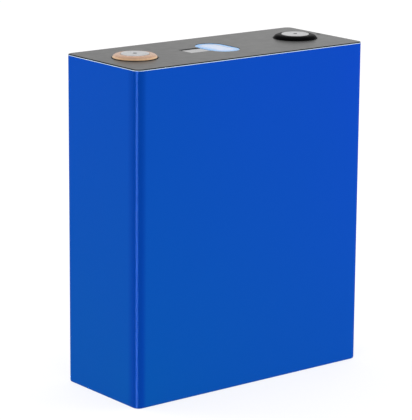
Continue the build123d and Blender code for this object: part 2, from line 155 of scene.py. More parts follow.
# ---- Terminals -------------------------------------------------------------------------------
DOME_STEPS = 12
WASHER_EDGE = 0.16
RING_FOOT = 0.22
RING_FOOT_HEIGHT = 0.34
RING_FOOT_EDGE = 0.05
RING_SOLE_EDGE = 0.06
RING_DOME_LIFT = 0.12  # from the foot's top to the dome's lower end
RING_CREST = 0.6  # from the bore to the dome's crest
RING_LIP = ((0.28, 0.02), (0.09, 0.10), (0.0, 0.30))  # out from the bore, down from the top
RING_UNDERCUT = 0.82  # height of the undercut that holds the pad's flange
PAD_RADIUS = 8.6
PAD_GAP = 0.15
PAD_FLANGE_HEIGHT = 0.8
PAD_FLANGE_EDGE = 0.1
PAD_EDGE = 0.28
PART_GAP = 0.02
POLE_RADIUS = 6.0
POLE_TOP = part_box("positive_pole")[1].z / MM
POLE_HOLE_RADIUS = 6.85
MARK_RADIUS = 1.25
MARK_DEPTH = 0.6
MARK_TAPER = 0.7  # its floor's share of its radius
MARK_EDGE = 0.1

# ---- Camera: matched to the object's outline -------------------------------------------------
CAMERA_YAW = math.radians(38.31)
CAMERA_PITCH = math.radians(13.57)
CAMERA_ROLL = math.radians(0.435)
CAMERA_DISTANCE = 1.4054
CAMERA_OFFSET = (-0.00602, 0.00054)
CAMERA_LENS = 195.31
SENSOR_WIDTH = 36.0
CLIP_RANGE = (0.05, 50.0)

# ---- Studio ----------------------------------------------------------------------------------
FLOOR_HALF = 6.0
FLOOR_GLOW = 0.72
SKY_LEVEL = 0.85
LOWER_COLOUR = (0.02, 0.02, 0.022, 1.0)  # the world below the horizon
SIDE_LIGHTS = (("side_left", -112.0), ("side_right", 100.0))  # azimuths
SIDE_LIGHT_ELEVATION = 25.0
SIDE_LIGHT_SIZE = 1.2
SIDE_LIGHT_POWER = 12.0
LIGHT_DISTANCE = 1.6
STRIP_AZIMUTH = -27.0
STRIP_HALF = 0.29
STRIP_LEVEL = 34.0
STRIP_SOFTNESS = 0.3  # its edge's share of its half width, either side
STRIP_HEIGHTS = ((-0.10, -0.02), (-0.45, -0.60))  # where it is full and gone, above and below
HORIZON = (-0.02, 0.06)  # heights at which the sky starts and is full


# ---- Mesh helpers ----------------------------------------------------------------------------
def clamp(value):
    """Value held between 0 and 1."""
    return min(1.0, max(0.0, value))


def smooth(value):
    """Value held between 0 and 1, eased at both ends."""
    share = clamp(value)
    return share * share * (3 - 2 * share)


def finish_mesh(name, bm, material, sharp=SHARP_ANGLE, location=(0, 0, 0)):
    """Turn a bmesh in millimetres into a piece of the object."""
    bmesh.ops.scale(bm, vec=(MM, MM, MM), verts=bm.verts)
    mesh = bpy.data.meshes.new(name)
    bm.to_mesh(mesh)
    bm.free()
    mesh.polygons.foreach_set("use_smooth", [True] * len(mesh.polygons))
    mesh.set_sharp_from_angle(angle=math.radians(sharp))
    piece = bpy.data.objects.new(name, mesh)
    piece.location = Vector(location) * MM
    bpy.context.scene.collection.objects.link(piece)
    mesh.materials.append(material)
    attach(piece, BODY)
    return piece


def thicken(piece, thickness):
    """Give a surface its thickness, inwards from its outer side."""
    modifier = piece.modifiers.new("thickness", "SOLIDIFY")
    modifier.thickness = thickness * MM
    modifier.offset = -1
    modifier.use_even_offset = True
    bpy.context.view_layer.update()
    evaluated = piece.evaluated_get(bpy.context.evaluated_depsgraph_get())
    solid = bpy.data.meshes.new_from_object(evaluated)
    piece.modifiers.clear()
    piece.data = solid
    solid.set_sharp_from_angle(angle=math.radians(SHARP_ANGLE))


def face_outwards(bm, outwardness):
    """Make the normals agree, and turn them all round if their outwardness sums to less than 0."""
    bmesh.ops.recalc_face_normals(bm, faces=bm.faces)
    if sum(outwardness(face) for face in bm.faces) < 0:
        bmesh.ops.reverse_faces(bm, faces=bm.faces)


def add_grid(bm, rows, closed=False):
    """Faces between rows of points; each row closes on itself if asked."""
    made = [[bm.verts.new(point) for point in row] for row in rows]
    for lower, upper in zip(made, made[1:]):
        count = len(lower)
        for i in range(count if closed else count - 1):
            j = (i + 1) % count
            bm.faces.new((lower[i], lower[j], upper[j], upper[i]))
    return made


def rounded_path(corners):
    """Closed path through (x, y, radius) corners, each rounded with an arc of its radius."""
    path = []
    count = len(corners)
    for i, (x, y, radius) in enumerate(corners):
        here = Vector((x, y))
        before = (Vector(corners[i - 1][:2]) - here).normalized()
        after = (Vector(corners[(i + 1) % count][:2]) - here).normalized()
        if radius <= 0:
            path.append(here)
            continue
        half = before.angle(after) / 2
        centre = here + (before + after).normalized() * (radius / math.sin(half))
        start = here + before * (radius / math.tan(half)) - centre
        turn = math.pi - 2 * half
        sign = 1 if before.cross(after) < 0 else -1
        for k in range(ROUND_STEPS + 1):
            path.append(centre + Matrix.Rotation(sign * turn * k / ROUND_STEPS, 2) @ start)
    return path


def lathe(profile):
    """Turn a closed (radius, height) profile about the vertical axis."""
    bm = bmesh.new()
    rows = []
    for k in range(LATHE_STEPS):
        angle = 2 * math.pi * k / LATHE_STEPS
        rows.append([(r * math.cos(angle), r * math.sin(angle), z) for r, z in profile])
    add_grid(bm, rows + [rows[0]], closed=True)
    bmesh.ops.remove_doubles(bm, verts=bm.verts, dist=MERGE)
    bmesh.ops.recalc_face_normals(bm, faces=bm.faces)
    return bm


# ---- Shader helpers --------------------------------------------------------------------------
def feed(tree, socket, value):
    """Link a socket, or set its value."""
    if isinstance(value, bpy.types.NodeSocket):
        tree.links.new(value, socket)
    else:
        socket.default_value = value


def node(tree, kind, inputs=None, **settings):
    """Add a shader node with its settings and inputs."""
    made = tree.nodes.new(kind)
    for key, value in settings.items():
        setattr(made, key, value)
    for key, value in (inputs or {}).items():
        feed(tree, made.inputs[key], value)
    return made


def place(tree, stretch=(1, 1, 1)):
    """Texture place in the object's own metres, stretched."""
    source = node(tree, "ShaderNodeTexCoord").outputs["Object"]
    return node(tree, "ShaderNodeMapping", {"Vector": source, "Scale": stretch}).outputs["Vector"]


def noise(tree, size_mm, detail, stretch=(1, 1, 1), warp=0.0):
    """Noise with features of about the given size."""
    inputs = {
        "Vector": place(tree, stretch),
        "Scale": 1 / (size_mm * MM),
        "Detail": detail,
        "Distortion": warp,
    }
    return node(tree, "ShaderNodeTexNoise", inputs).outputs["Fac"]


def remap(tree, value, low, high, start=0.3, end=0.7):
    """Spread a noise value over a range."""
    inputs = {"Value": value, "From Min": start, "From Max": end, "To Min": low, "To Max": high}
    return node(tree, "ShaderNodeMapRange", inputs).outputs["Result"]


def mix(tree, factor, first, second):
    """Mix two colours."""
    made = node(tree, "ShaderNodeMix", data_type="RGBA")
    feed(tree, made.inputs[0], factor)
    feed(tree, made.inputs[6], first)
    feed(tree, made.inputs[7], second)
    return made.outputs[2]


def bump(tree, height, depth_mm, under=None):
    """Bump from a height value, depth_mm from its low to its high."""
    inputs = {"Height": height, "Distance": depth_mm * MM, "Strength": 1.0}
    if under is not None:
        inputs["Normal"] = under
    return node(tree, "ShaderNodeBump", inputs).outputs["Normal"]


def new_material(name, **sockets):
    """Principled material with the given socket values, and its tree and shader."""
    material = bpy.data.materials.new(name)
    material.use_nodes = True
    tree = material.node_tree
    shader = tree.nodes["Principled BSDF"]
    for key, value in sockets.items():
        shader.inputs[key.replace("_", " ")].default_value = value
    return material, tree, shader


def rgb(red, green, blue):
    """Linear colour with full alpha."""
    return (red, green, blue, 1.0)


# ---- Materials -------------------------------------------------------------------------------
def upright_share(tree):
    """1 on faces that look sideways, 0 on those that look up or down. It places the light and
    shade painted by facing.
    """
    normal = node(tree, "ShaderNodeNewGeometry").outputs["Normal"]
    parts = node(tree, "ShaderNodeSeparateXYZ", {"Vector": normal})
    upward = node(tree, "ShaderNodeMath", {0: parts.outputs["Z"]}, operation="ABSOLUTE")
    return remap(tree, upward.outputs["Value"], 1.0, 0.0, 0.3, 0.8)


def corner_painted_shade(tree):
    """Mask of the painted shade on the corner at -X and -Y: 1 on the corner, fading to 0 over the
    first few millimetres of its flats.
    """
    parts = node(tree, "ShaderNodeSeparateXYZ", {"Vector": place(tree)}).outputs
    masks = []
    for axis, half, reach in (("X", HALF_WIDTH, PAINTED_SHADE_ON_WIDE), ("Y", HALF_DEPTH, PAINTED_SHADE_ON_NARROW)):
        bend = (CORNER_RADIUS - half) * MM
        masks.append(remap(tree, parts[axis], 1.0, 0.0, bend, bend + reach * MM))
    return node(tree, "ShaderNodeMath", {0: masks[0], 1: masks[1]}, operation="MULTIPLY").outputs["Value"]


def blue_film_material():
    """Polyester film: blue, with painted light that slopes from a greener blue low at -X to a bluer
    one high at +X, painted shade that deepens the near corner, a faint orange peel and vertical
    draw lines."""
    material, tree, shader = new_material("blue_film", Specular_IOR_Level=0.11, IOR=1.5)
    shader.inputs["Specular Tint"].default_value = rgb(0.20, 0.42, 1.0)
    # Painted light: greener blue low at -X to bluer high at +X, the light's tint on the faces.
    across = node(tree, "ShaderNodeSeparateXYZ", {"Vector": place(tree, (0.6, 0.2, 0.8))})
    slope = node(tree, "ShaderNodeMath", {0: across.outputs["X"], 1: across.outputs["Z"]}, operation="ADD")
    painted_light_drift = remap(tree, slope.outputs["Value"], 0.0, 1.0, -0.04, 0.2)
    colour = mix(tree, painted_light_drift, rgb(0.0014, 0.0845, 0.405), rgb(0.0034, 0.0610, 0.508))
    cloud = remap(tree, noise(tree, 60, 2), 0.0, 0.25)
    colour = mix(tree, cloud, colour, rgb(0.0022, 0.0710, 0.438))
    # Painted shade: a deeper blue on the near corner and the start of its flats.
    colour = mix(tree, corner_painted_shade(tree), colour, rgb(0.0008, 0.0520, 0.375))
    feed(tree, shader.inputs["Base Color"], colour)
    feed(tree, shader.inputs["Roughness"], remap(tree, noise(tree, 9, 4), 0.205, 0.23))
    peel = bump(tree, noise(tree, 4.0, 2), 0.004)
    lines = noise(tree, 3.0, 2, stretch=(1, 1, 0.02))
    feed(tree, shader.inputs["Normal"], bump(tree, lines, 0.002, under=peel))
    return material


def grey_sheet_material():
    """Matte insulating board with a fine grain, painted light that lightens it towards +X and painted
    shade that makes its upright cut edges near-black.
    """
    material, tree, shader = new_material("grey_sheet", Specular_IOR_Level=0.12)
    cloud = remap(tree, noise(tree, 35, 3), 0.0, 1.0)
    colour = mix(tree, cloud, rgb(0.066, 0.066, 0.065), rgb(0.076, 0.076, 0.075))
    # Painted light: the board gets lighter towards +X.
    across = node(tree, "ShaderNodeSeparateXYZ", {"Vector": place(tree)}).outputs["X"]
    painted_light_drift = remap(tree, across, 0.0, 0.8, -HALF_WIDTH * MM * 0.6, HALF_WIDTH * MM)
    colour = mix(tree, painted_light_drift, colour, rgb(0.105, 0.105, 0.104))
    grain = remap(tree, noise(tree, 0.35, 2), 0.0, 0.35, 0.45, 0.75)
    colour = mix(tree, grain, colour, rgb(0.05, 0.05, 0.05))
    # Painted shade: the upright cut edges are made near-black.
    colour = mix(tree, upright_share(tree), colour, rgb(0.006, 0.006, 0.007))
    feed(tree, shader.inputs["Base Color"], colour)
    feed(tree, shader.inputs["Roughness"], remap(tree, noise(tree, 5, 3), 0.28, 0.32))
    feed(tree, shader.inputs["Normal"], bump(tree, noise(tree, 4.0, 3), 0.004))
    return material


def brushed_metal(name, dark, light, roughness, stretch):
    """Bare metal with fine rolling marks along one direction."""
    material, tree, shader = new_material(name, Metallic=1.0)
    marks = noise(tree, 0.25, 4, stretch=stretch)
    cloud = noise(tree, 14, 3)
    colour = mix(tree, remap(tree, marks, 0.0, 1.0), dark, light)
    colour = mix(tree, remap(tree, cloud, 0.0, 0.25), colour, dark)
    feed(tree, shader.inputs["Base Color"], colour)
    feed(tree, shader.inputs["Roughness"], remap(tree, marks, roughness - 0.05, roughness + 0.07))
    feed(tree, shader.inputs["Normal"], bump(tree, marks, SCRATCH_DEPTH))
    return material


def turned_metal(name, dark, light, roughness):
    """Metal faced on a lathe: fine rings round the piece's own axis."""
    material, tree, shader = new_material(name, Metallic=1.0)
    inputs = {"Vector": place(tree), "Scale": 1 / (TURNING_PITCH * MM), "Distortion": 0.6, "Detail": 2.0}
    rings = node(tree, "ShaderNodeTexWave", inputs, wave_type="RINGS", rings_direction="Z").outputs["Fac"]
    cloud = noise(tree, 3.5, 4)
    colour = mix(tree, remap(tree, cloud, 0.0, 1.0), dark, light)
    feed(tree, shader.inputs["Base Color"], colour)
    feed(tree, shader.inputs["Roughness"], remap(tree, cloud, roughness - 0.05, roughness + 0.08))
    feed(tree, shader.inputs["Normal"], bump(tree, rings, TURNING_DEPTH))
    return material


def plastic(name, dark, light, roughness, gloss=0.5, grain_mm=0.4, grain_depth=0.004):
    """Moulded plastic between two colours, each (red, green, blue): slight cloudiness, fine
    grain and uneven gloss."""
    material, tree, shader = new_material(name, Specular_IOR_Level=gloss)
    cloud = remap(tree, noise(tree, 6, 3), 0.0, 1.0)
    feed(tree, shader.inputs["Base Color"], mix(tree, cloud, rgb(*dark), rgb(*light)))
    shine = remap(tree, noise(tree, 2.2, 4), roughness - 0.04, roughness + 0.05)
    feed(tree, shader.inputs["Roughness"], shine)
    feed(tree, shader.inputs["Normal"], bump(tree, noise(tree, grain_mm, 3), grain_depth))
    return material


def copper_ring_material():
    """Copper-coloured moulded ring with painted light and shade: its upright side is painted lighter
    and warmer, its slope darker.
    """
    material, tree, shader = new_material("copper_ring", Specular_IOR_Level=0.5)
    cloud = remap(tree, noise(tree, 3, 3), 0.0, 1.0)
    # Painted shade on the slope and painted light on the upright side, chosen by facing.
    slope = mix(tree, cloud, rgb(0.46, 0.27, 0.17), rgb(0.52, 0.31, 0.20))
    side = mix(tree, cloud, rgb(0.80, 0.50, 0.27), rgb(0.90, 0.60, 0.34))
    feed(tree, shader.inputs["Base Color"], mix(tree, upright_share(tree), slope, side))
    feed(tree, shader.inputs["Roughness"], remap(tree, noise(tree, 2.2, 4), 0.22, 0.30))
    feed(tree, shader.inputs["Normal"], bump(tree, noise(tree, 0.5, 3), 0.003))
    return material


def coated_foil(name, dark, light, roughness):
    """Electrode web: dull powder coating with faint vertical streaks from the coating die."""
    material, tree, shader = new_material(name, Specular_IOR_Level=0.3)
    streaks = noise(tree, 1.4, 3, stretch=(1, 1, 0.03))
    powder = noise(tree, 0.2, 3)
    colour = mix(tree, remap(tree, streaks, 0.0, 1.0), rgb(*dark), rgb(*light))
    colour = mix(tree, remap(tree, powder, 0.0, 0.3), colour, rgb(*dark))
    feed(tree, shader.inputs["Base Color"], colour)
    feed(tree, shader.inputs["Roughness"], remap(tree, powder, roughness - 0.06, roughness + 0.06))
    feed(tree, shader.inputs["Normal"], bump(tree, powder, 0.008))
    return material


def layered_foil(name, dark, light):
    """Stack of thin metal foils, seen as fine level lines on its edges."""
    material, tree, shader = new_material(name, Metallic=1.0)
    layers = noise(tree, 0.12, 3, stretch=(0.03, 0.03, 1))
    feed(tree, shader.inputs["Base Color"], mix(tree, remap(tree, layers, 0.0, 1.0), dark, light))
    feed(tree, shader.inputs["Roughness"], remap(tree, layers, 0.28, 0.42))
    feed(tree, shader.inputs["Normal"], bump(tree, layers, 0.02))
    return material


def vent_film_material():
    """Pale blue clear film over bright metal: bluer on its glued rim, milky in the middle."""
    material, tree, shader = new_material("vent_film", Specular_IOR_Level=0.5, IOR=1.5, Alpha=0.92)
    rim = node(tree, "ShaderNodeAttribute", attribute_name="rim").outputs["Fac"]
    cloud = remap(tree, noise(tree, 5, 3), 0.0, 0.25)
    streak = remap(tree, noise(tree, 3.2, 2, stretch=(1, 0.25, 1)), 0.0, 0.7, 0.45, 0.65)
    colour = mix(tree, streak, rgb(0.58, 0.70, 0.92), rgb(0.74, 0.72, 0.86))
    colour = mix(tree, rim, colour, rgb(0.10, 0.42, 0.90))
    colour = mix(tree, cloud, colour, rgb(0.55, 0.72, 0.93))
    feed(tree, shader.inputs["Base Color"], colour)
    feed(tree, shader.inputs["Roughness"], remap(tree, noise(tree, 2, 3), 0.12, 0.18))
    feed(tree, shader.inputs["Normal"], bump(tree, noise(tree, 3.5, 2), 0.02))
    return material


def clear_film_material():
    """Clear insulating film with a few soft folds."""
    material, tree, shader = new_material("clear_film", Alpha=0.45, Specular_IOR_Level=0.5)
    folds = noise(tree, 22, 3, stretch=(1, 1, 0.2), warp=0.8)
    colour = mix(tree, remap(tree, folds, 0, 1), rgb(0.75, 0.78, 0.80), rgb(0.9, 0.92, 0.94))
    feed(tree, shader.inputs["Base Color"], colour)
    feed(tree, shader.inputs["Roughness"], remap(tree, folds, 0.14, 0.24))
    feed(tree, shader.inputs["Normal"], bump(tree, folds, 0.2))
    return material


def metal_materials():
    """Bare metals, under their slots' names."""
    dark, light = rgb(0.56, 0.57, 0.59), rgb(0.74, 0.745, 0.755)
    copper_dark, copper_light = rgb(0.56, 0.23, 0.12), rgb(0.78, 0.38, 0.24)
    lid_dark, lid_light = rgb(0.50, 0.50, 0.51), rgb(0.64, 0.645, 0.65)
    pad_dark, pad_light = rgb(0.55, 0.55, 0.56), rgb(0.70, 0.70, 0.71)
    return {
        "can_aluminium": brushed_metal("can_aluminium", dark, light, 0.30, (0.04, 0.04, 1)),
        "lid_aluminium": brushed_metal("lid_aluminium", lid_dark, lid_light, 0.32, (0.03, 1, 1)),
        "vent_foil": brushed_metal("vent_foil", dark, light, 0.25, (1, 0.1, 1)),
        "pad_aluminium": turned_metal("pad_aluminium", pad_dark, pad_light, 0.32),
        "pole_aluminium": brushed_metal("pole_aluminium", dark, light, 0.34, (1, 1, 0.05)),
        "copper": brushed_metal("copper", copper_dark, copper_light, 0.32, (1, 1, 0.05)),
        "aluminium_foil": layered_foil("aluminium_foil", dark, light),
        "copper_foil": layered_foil("copper_foil", copper_dark, copper_light),
    }


def plastic_materials():
    """Plastics and rubber, under their slots' names. Each is made from its dark and its light
    colour and its roughness, then its gloss and the size and depth of its grain."""
    black = (0.002, 0.002, 0.0022)
    soot = (0.004, 0.004, 0.0044)
    recipes = {
        "base_patch": ((0.55, 0.56, 0.55), (0.64, 0.65, 0.64), 0.4),
        "black_ring": (black, soot, 0.22, 0.006, 0.6, 0.003),
        "black_plastic": (black, soot, 0.5, 0.06),
        "seal_rubber": ((0.012, 0.012, 0.012), (0.022, 0.022, 0.022), 0.7, 0.3, 0.2, 0.01),
        "separator_film": ((0.78, 0.78, 0.77), (0.86, 0.86, 0.85), 0.45, 0.5, 0.8, 0.006),
        "tape": ((0.02, 0.16, 0.07), (0.03, 0.21, 0.10), 0.3, 0.5, 1.5, 0.006),
        "plate_plastic": ((0.70, 0.70, 0.68), (0.80, 0.80, 0.78), 0.5),
        # rim_weld: bright bluish white, partly the weld's own light metal and partly a painted highlight.
        "rim_weld": ((0.62, 0.80, 0.99), (0.72, 0.88, 1.0), 0.42, 0.2, 0.8, 0.01),
        # Near-black, little gloss: painted shade at the rim and the window's back edge; also the plug.
        "near_black_fill": ((0.004, 0.004, 0.005), (0.008, 0.008, 0.009), 0.45, 0.05, 0.8, 0.02),
        "pad_mark": (black, soot, 0.6, 0.02),
    }
    return {name: plastic(name, *recipe) for name, recipe in recipes.items()}


def make_materials():
    """Every material, under its slot's name."""
    cathode = ((0.020, 0.020, 0.022), (0.040, 0.040, 0.043), 0.75)
    anode = ((0.035, 0.035, 0.038), (0.065, 0.065, 0.070), 0.6)
    others = {
        "cathode_coating": coated_foil("cathode_coating", *cathode),
        "anode_coating": coated_foil("anode_coating", *anode),
        "copper_ring": copper_ring_material(),
        "blue_film": blue_film_material(),
        "grey_sheet": grey_sheet_material(),
        "vent_film": vent_film_material(),
        "clear_film": clear_film_material(),
    }
    return metal_materials() | plastic_materials() | others


# ---- Film wrap -------------------------------------------------------------------------------
def outline_point(half_x, half_y, radius, side, share):
    """Point on a rounded rectangle. Sides 0, 2, 4 and 6 are the flats at +X, +Y, -X and -Y,
    and each odd side is the corner after the flat before it."""
    run_x = half_x - radius
    run_y = half_y - radius
    if side % 2:
        signs = {1: (1, 1), 3: (-1, 1), 5: (-1, -1), 7: (1, -1)}[side]
        angle = math.radians(90 * (side // 2 + share))
        x = signs[0] * run_x + radius * math.cos(angle)
        y = signs[1] * run_y + radius * math.sin(angle)
        return Vector((x, y))
    along = 2 * share - 1
    return {
        0: Vector((half_x, along * run_y)),
        2: Vector((-along * run_x, half_y)),
        4: Vector((-half_x, -along * run_y)),
        6: Vector((along * run_x, -half_y)),
    }[side]


def outward(side, share):
    """Outward direction at a place on the outline."""
    angle = math.radians(90 * (side // 2 + (share if side % 2 else 0)))
    return Vector((math.cos(angle), math.sin(angle)))


def wrap_stations():
    """Places along the film strip, from under the overlap, once round and over it again."""
    run_y = 2 * (HALF_DEPTH - CORNER_RADIUS)
    run_x = 2 * (HALF_WIDTH - CORNER_RADIUS)
    first = 0.5 - SEAM_WIDTH / 2 / run_y
    last = 0.5 + SEAM_WIDTH / 2 / run_y
    stations = []

    def add_flat(side, low, high, run):
        count = max(2, round(run * (high - low) / FLAT_STEP))
        stations.extend((side, low + (high - low) * i / count) for i in range(count + 1))

    add_flat(0, first, 1.0, run_y)
    for side in range(1, 8):
        if side % 2:
            stations.extend((side, i / CORNER_STEPS) for i in range(1, CORNER_STEPS))
        else:
            add_flat(side, 0.0, 1.0, run_y if side == 4 else run_x)
    ramp = SEAM_RAMP / run_y
    add_flat(0, 0.0, first - ramp, run_y)
    stations.extend((0, first - ramp + ramp * i / 4) for i in range(1, 5))
    stations.extend((0, first + (last - first) * i / 5) for i in range(1, 6))
    return stations, first, ramp


def wrap_outline(side, share):
    """Point on the film's outline, before its unevenness."""
    return outline_point(HALF_WIDTH, HALF_DEPTH, CORNER_RADIUS, side, share)


def film_relief(side, share, x, y, z):
    """Slight unevenness of the film on its flats, from 0 inwards, in millimetres. It fades out
    towards the corners, where the film is drawn tight."""
    if side % 2:
        return -RIPPLE
    run = 2 * ((HALF_WIDTH if side in (2, 6) else HALF_DEPTH) - CORNER_RADIUS)
    freedom = smooth(run * min(share, 1 - share) / RIPPLE_FADE)
    along_wall = x + 1.7 * y
    broad = math.sin(along_wall * 0.11 + 0.6) * math.sin(z * 0.045 + 1.1)
    middling = 0.6 * math.sin(along_wall * 0.31 + z * 0.02) * math.sin(z * 0.13 + 0.4)
    fine = 0.4 * math.sin(along_wall * 0.73 - z * 0.05 + 2.0)
    return -RIPPLE * (2.0 + (broad + middling + fine) * freedom) / 2


def flap_height(side, share):
    """The flaps of the narrow sides are folded first, so they lie above the long ones."""
    narrow = side in (0, 4) or (side in (3, 7) and share > 0.5) or (side in (1, 5) and share < 0.5)
    return FLAP_STEP if narrow else 0.0


def wrap_layers(stations, first, ramp):
    """Each station's lift off the layer below it on the wall, and its height under the base."""
    lifts = []
    flaps = []
    for index, (side, share) in enumerate(stations):
        lift = 0.0
        flap = flap_height(side, share)
        if side == 0 and index > len(stations) // 2:
            lift = smooth((share - (first - ramp)) / ramp)
            flap *= 1 - lift
        elif side == 0 and share < 1 - first + ramp:
            flap = FILM + UNDER_GAP
        lifts.append(lift * (FILM + SEAM_GAP))
        flaps.append(flap)
    return lifts, flaps


def wall_rows(stations, lifts):
    """Rows of points down the walls, from the cut upper edge to the bend."""
    high = WRAP_TOP - TOP_EDGE
    count = round((high - EDGE_RADIUS) / ROW_STEP)
    rows = []
    for z in [WRAP_TOP] + [high - (high - EDGE_RADIUS) * row / count for row in range(count + 1)]:
        points = []
        for (side, share), lift in zip(stations, lifts):
            flat = wrap_outline(side, share)
            reach = film_relief(side, share, flat.x, flat.y, z) + lift
            spot = flat + outward(side, share) * reach
            sag = CUT_WAVE * (math.sin((flat.x - 1.3 * flat.y) * 0.09) - 1) if z == WRAP_TOP else 0.0
            points.append((spot.x, spot.y, z + sag))
        rows.append(points)
    return rows


def bend_rows(stations, lifts, flaps):
    """Rows of points round the bend from the walls to the base."""
    rows = []
    for step in range(1, EDGE_STEPS + 1):
        angle = math.pi / 2 * step / EDGE_STEPS
        inset = EDGE_RADIUS * (1 - math.cos(angle))
        z = EDGE_RADIUS * (1 - math.sin(angle))
        points = []
        for (side, share), lift, flap in zip(stations, lifts, flaps):
            reach = lift * math.cos(angle) - RIPPLE - inset
            spot = wrap_outline(side, share) + outward(side, share) * reach
            points.append((spot.x, spot.y, z + flap * step / EDGE_STEPS))
        rows.append(points)
    return rows


def flap_rows(stations, flaps):
    """Rows of points across the flaps folded under the base."""
    inner = (HALF_WIDTH - FLAP_WIDTH, HALF_DEPTH - FLAP_WIDTH, FLAP_CORNER)
    rows = []
    for step in range(1, FLAP_ROWS + 1):
        points = []
        for (side, share), flap in zip(stations, flaps):
            near = wrap_outline(side, share) - outward(side, share) * EDGE_RADIUS
            spot = near.lerp(outline_point(*inner, side, share), step / FLAP_ROWS)
            points.append((spot.x, spot.y, flap))
        rows.append(points)
    return rows


def insulation_wrap(material):
    """Film strip round the four sides, with its glued overlap, folded under the base."""
    stations, first, ramp = wrap_stations()
    lifts, flaps = wrap_layers(stations, first, ramp)
    rows = wall_rows(stations, lifts) + bend_rows(stations, lifts, flaps) + flap_rows(stations, flaps)
    bm = bmesh.new()
    add_grid(bm, rows)
    face_outwards(bm, lambda face: face.normal.y * face.calc_center_median().y)
    piece = finish_mesh("film_wrap", bm, material)
    thicken(piece, FILM)
    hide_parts("insulation_wrap")


def fold_gussets(material):
    """Triangular ends of the folds, one under each corner of the base."""
    bm = bmesh.new()
    start = EDGE_RADIUS + GUSSET_MARGIN
    reach = FLAP_WIDTH - EDGE_RADIUS - GUSSET_SHORTFALL
    inset = start + CORNER_RADIUS * GUSSET_ROUND
    corners = [
        (HALF_WIDTH - inset, HALF_DEPTH - inset),
        (HALF_WIDTH - start, HALF_DEPTH - start - CORNER_RADIUS * 0.9 - reach * 0.55),
        (HALF_WIDTH - start - reach, HALF_DEPTH - start - reach - 0.2),
    ]
    for sign_x in (-1, 1):
        for sign_y in (-1, 1):
            spots = [(sign_x * x, sign_y * y) for x, y in corners]
            low = [bm.verts.new((x, y, UNDER_GAP)) for x, y in spots]
            high = [bm.verts.new((x, y, FLAP_STEP - UNDER_GAP)) for x, y in spots]
            bm.faces.new(low)
            bm.faces.new(high)
            for i in range(3):
                j = (i + 1) % 3
                bm.faces.new((low[i], low[j], high[j], high[i]))
    bmesh.ops.recalc_face_normals(bm, faces=bm.faces)
    finish_mesh("film_fold_gussets", bm, material)


# ---- Terminals -------------------------------------------------------------------------------
def node_sizes(name):
    """Centre on X, radius, lowest and highest height of a turned CAD node, in millimetres."""
    low, high = (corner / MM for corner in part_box(name))
    return (low.x + high.x) / 2, (high.x - low.x) / 2, low.z, high.z


def terminal_washer(side, material):
    """Flat insulating washer with softened edges."""
    name = f"{side}_base_washer"
    centre, radius, low, high = node_sizes(name)
    corners = [
        (POLE_HOLE_RADIUS, low, 0),
        (radius, low, WASHER_EDGE / 2),
        (radius, high, WASHER_EDGE),
        (POLE_HOLE_RADIUS, high, 0),
    ]
    bm = lathe(rounded_path(corners))
    piece = finish_mesh(f"{name}_turned", bm, material, location=(centre, 0, 0))
    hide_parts(name)


def terminal_ring(side, material):
    """Moulded ring: a low foot, a domed outside that runs up to the pad, and an undercut inside
    that holds the pad's flange down."""
    name = f"{side}_ring"
    centre, radius, low, high = node_sizes(name)
    flange = node_sizes(f"{side}_pad")[1]
    bore = PAD_RADIUS + PAD_GAP
    undercut = flange + PART_GAP
    undercut_top = low + RING_UNDERCUT
    crest = bore + RING_CREST
    dome_low = low + RING_FOOT_HEIGHT + RING_DOME_LIFT
    dome_reach = radius - RING_FOOT - crest
    profile = [
        (undercut, low),
        (radius - RING_SOLE_EDGE, low),
        (radius, low + RING_SOLE_EDGE),
        (radius, low + RING_FOOT_HEIGHT - RING_FOOT_EDGE),
        (radius - RING_FOOT_EDGE, low + RING_FOOT_HEIGHT),
    ]
    for k in range(DOME_STEPS + 1):
        angle = math.pi / 2 * k / DOME_STEPS
        rise = (high - dome_low) * math.sin(angle)
        profile.append((crest + dome_reach * math.cos(angle), dome_low + rise))
    profile += [(bore + reach, high - drop) for reach, drop in RING_LIP]
    profile += [(bore, undercut_top), (undercut, undercut_top)]
    bm = lathe(profile)
    piece = finish_mesh(f"{name}_turned", bm, material, sharp=RING_ANGLE, location=(centre, 0, 0))
    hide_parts(name)


def terminal_pad(side, materials):
    """Weld pad: captive flange, softened rim and a near-black centre dimple."""
    name = f"{side}_pad"
    centre, flange, low, high = node_sizes(name)
    socket = POLE_RADIUS + PART_GAP
    roof = POLE_TOP + PART_GAP
    mark_floor = high - MARK_DEPTH
    corners = [
        (socket, low, 0),
        (flange, low, PAD_FLANGE_EDGE),
        (flange, low + PAD_FLANGE_HEIGHT, PAD_FLANGE_EDGE),
        (PAD_RADIUS, low + PAD_FLANGE_HEIGHT, PAD_FLANGE_EDGE / 2),
        (PAD_RADIUS, high, PAD_EDGE),
        (MARK_RADIUS, high, MARK_EDGE / 2),
        (MARK_RADIUS * MARK_TAPER, mark_floor, MARK_EDGE),
        (0, mark_floor, 0),
        (0, roof, 0),
        (socket, roof, 0),
    ]
    bm = lathe(rounded_path(corners))
    slot = "pad_aluminium"
    piece = finish_mesh(f"{name}_turned", bm, materials[slot], location=(centre, 0, 0))
    piece.data.materials.append(materials["pad_mark"])
    for face in piece.data.polygons:
        middle = face.center / MM
        sunk = mark_floor - MARK_EDGE < middle.z < high - PART_GAP
        if sunk and math.hypot(middle.x, middle.y) < MARK_RADIUS:
            face.material_index = 1
    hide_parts(name)


# ---- Lid -------------------------------------------------------------------------------------
def stadium(radius, straight, z):
    """Points round a stadium with its long axis along Y."""
    points = []
    for k in range(VENT_AROUND):
        angle = 2 * math.pi * k / VENT_AROUND
        shift = straight if math.sin(angle) >= 0 else -straight
        points.append((radius * math.cos(angle), shift + radius * math.sin(angle), z))
    return points


